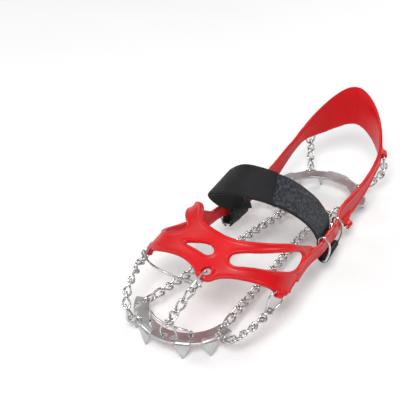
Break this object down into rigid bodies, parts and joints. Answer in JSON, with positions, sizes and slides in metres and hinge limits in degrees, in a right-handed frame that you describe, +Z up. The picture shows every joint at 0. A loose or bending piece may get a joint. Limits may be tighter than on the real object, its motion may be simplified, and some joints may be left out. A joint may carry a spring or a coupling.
{
  "type": "shoe ice cleats",
  "caption": "Slip-on ice cleats: a moulded elastomer harness with an instep strap carries toothed crescent plates on chains under the shoe.",
  "frame": {"origin": "centre of the bounding box in plan, on the plane the spike tips stand on", "axes": "-Y towards the toe, +Y towards the heel, +X towards the outer side of the left foot, +Z up"},
  "size_m": [0.1204, 0.2886, 0.1088],
  "materials": {
    "red_elastomer": "smooth satin moulded elastomer",
    "bright_steel": "bright polished stainless wire",
    "plate_steel": "stamped stainless sheet with a fine brushed grain",
    "webbing": "woven black webbing with stitched edges",
    "loop_pile": "grey brushed loop pile of hook-and-loop tape"
  },
  "bodies": {
    "harness_and_plates": {"harness": "red_elastomer", "strap_base": "loop_pile", "strap_flap": "webbing", "front_plate": "plate_steel", "rear_plate": "plate_steel", "junction_right": "bright_steel", "junction_left": "bright_steel"},
    "front_right_run": {"front_right_harness_ring": "bright_steel", "front_right_link_1": "bright_steel", "front_right_link_2": "bright_steel", "front_right_link_3": "bright_steel", "front_right_link_4": "bright_steel", "front_right_link_5": "bright_steel", "front_right_plate_ring": "bright_steel"},
    "front_left_run": {"front_left_harness_ring": "bright_steel", "front_left_link_1": "bright_steel", "front_left_link_2": "bright_steel", "front_left_link_3": "bright_steel", "front_left_link_4": "bright_steel", "front_left_link_5": "bright_steel", "front_left_plate_ring": "bright_steel"},
    "mid_right_run": {"mid_right_harness_ring": "bright_steel", "mid_right_link_1": "bright_steel", "mid_right_link_2": "bright_steel"},
    "mid_left_run": {"mid_left_harness_ring": "bright_steel", "mid_left_link_1": "bright_steel", "mid_left_link_2": "bright_steel"},
    "rear_right_run": {"rear_right_harness_ring": "bright_steel", "rear_right_link_1": "bright_steel", "rear_right_link_2": "bright_steel", "rear_right_link_3": "bright_steel", "rear_right_plate_ring": "bright_steel"},
    "rear_left_run": {"rear_left_harness_ring": "bright_steel", "rear_left_link_1": "bright_steel", "rear_left_link_2": "bright_steel", "rear_left_link_3": "bright_steel", "rear_left_plate_ring": "bright_steel"},
    "centre_run": {"centre_connector": "bright_steel", "centre_link_1": "bright_steel", "centre_link_2": "bright_steel", "centre_link_3": "bright_steel", "centre_link_4": "bright_steel", "toe_ring": "bright_steel"},
    "arch_right_run": {"arch_right_plate_ring": "bright_steel", "arch_right_chain": "bright_steel"},
    "arch_left_run": {"arch_left_plate_ring": "bright_steel", "arch_left_chain": "bright_steel"},
    "heel_right_run": {"heel_right_plate_ring": "bright_steel", "heel_right_chain": "bright_steel"},
    "heel_left_run": {"heel_left_plate_ring": "bright_steel", "heel_left_chain": "bright_steel"},
    "toe_bail": {"toe_bail": "bright_steel"},
    "strap_ring_right": {"strap_ring_right": "bright_steel"},
    "strap_ring_left": {"strap_ring_left": "bright_steel"},
    "strap_tip": {"strap_tip": "webbing"},
    "tie_wire": {"tie_wire": "bright_steel"}
  },
  "joints": [
    {"name": "front_right_sway", "type": "hinge", "parent": "harness_and_plates", "child": "front_right_run", "pos_m": [0.0563, -0.083, 0.0445], "axis": [-0.5838, -0.5811, -0.5671], "range_deg": [-5, 6]},
    {"name": "front_left_sway", "type": "hinge", "parent": "harness_and_plates", "child": "front_left_run", "pos_m": [-0.0566, -0.086, 0.039], "axis": [0.4228, -0.793, -0.4386], "range_deg": [-6, 4]},
    {"name": "mid_right_sway", "type": "hinge", "parent": "harness_and_plates", "child": "mid_right_run", "pos_m": [0.0429, 0.048, 0.018], "axis": [-0.9801, 0, -0.1983], "range_deg": [-5, 5]},
    {"name": "mid_left_sway", "type": "hinge", "parent": "harness_and_plates", "child": "mid_left_run", "pos_m": [-0.0431, 0.048, 0.018], "axis": [0.9801, 0, -0.1983], "range_deg": [-5, 5]},
    {"name": "rear_right_sway", "type": "hinge", "parent": "harness_and_plates", "child": "rear_right_run", "pos_m": [0.0359, 0.1225, 0.043], "axis": [-0.3518, -0.5306, -0.7712], "range_deg": [-7, 5]},
    {"name": "rear_left_sway", "type": "hinge", "parent": "harness_and_plates", "child": "rear_left_run", "pos_m": [-0.0376, 0.1225, 0.043], "axis": [0.34, -0.5331, -0.7747], "range_deg": [-5, 6]},
    {"name": "centre_sway", "type": "hinge", "parent": "harness_and_plates", "child": "centre_run", "pos_m": [0.0116, -0.1074, 0.0626], "axis": [-0.2703, -0.4831, -0.8328], "range_deg": [-10, 10]},
    {"name": "arch_right_sway", "type": "hinge", "parent": "harness_and_plates", "child": "arch_right_run", "pos_m": [0.0228, -0.1086, 0.014], "axis": [-0.0608, 0.9981, -0.0127], "range_deg": [-10, 10]},
    {"name": "arch_left_sway", "type": "hinge", "parent": "harness_and_plates", "child": "arch_left_run", "pos_m": [-0.0431, -0.1134, 0.014], "axis": [0.1806, 0.9835, -0.0122], "range_deg": [-10, 10]},
    {"name": "heel_right_sway", "type": "hinge", "parent": "harness_and_plates", "child": "heel_right_run", "pos_m": [0.0319, 0.084, 0.014], "axis": [-0.4599, -0.8866, -0.0492], "range_deg": [-10, 10]},
    {"name": "heel_left_sway", "type": "hinge", "parent": "harness_and_plates", "child": "heel_left_run", "pos_m": [-0.0341, 0.084, 0.014], "axis": [0.4974, -0.8662, -0.0481], "range_deg": [-10, 10]},
    {"name": "toe_bail_swing", "type": "hinge", "parent": "harness_and_plates", "child": "toe_bail", "pos_m": [-0.0265, -0.1284, 0.014], "axis": [0.9973, 0.0732, 0], "range_deg": [-20, 4]},
    {"name": "strap_ring_right_rock", "type": "hinge", "parent": "harness_and_plates", "child": "strap_ring_right", "pos_m": [0.0471, 0.0099, 0.017], "axis": [-0.1305, 0.9914, 0], "range_deg": [-0.4, 1]},
    {"name": "strap_ring_left_rock", "type": "hinge", "parent": "harness_and_plates", "child": "strap_ring_left", "pos_m": [-0.0439, 0.0092, 0.017], "axis": [0.0263, 0.9997, 0], "range_deg": [-1, 0.2]},
    {"name": "strap_tip_peel", "type": "hinge", "parent": "harness_and_plates", "child": "strap_tip", "pos_m": [-0.0039, -0.0439, 0.1], "axis": [0.1129, -0.87, -0.4799], "range_deg": [0, 75]},
    {"name": "tie_wire_turn", "type": "hinge", "parent": "harness_and_plates", "child": "tie_wire", "pos_m": [-0.0541, -0.099, 0.0425], "axis": [0.9365, -0.2676, 0.2267], "range_deg": [-7, 7]}
  ]
}
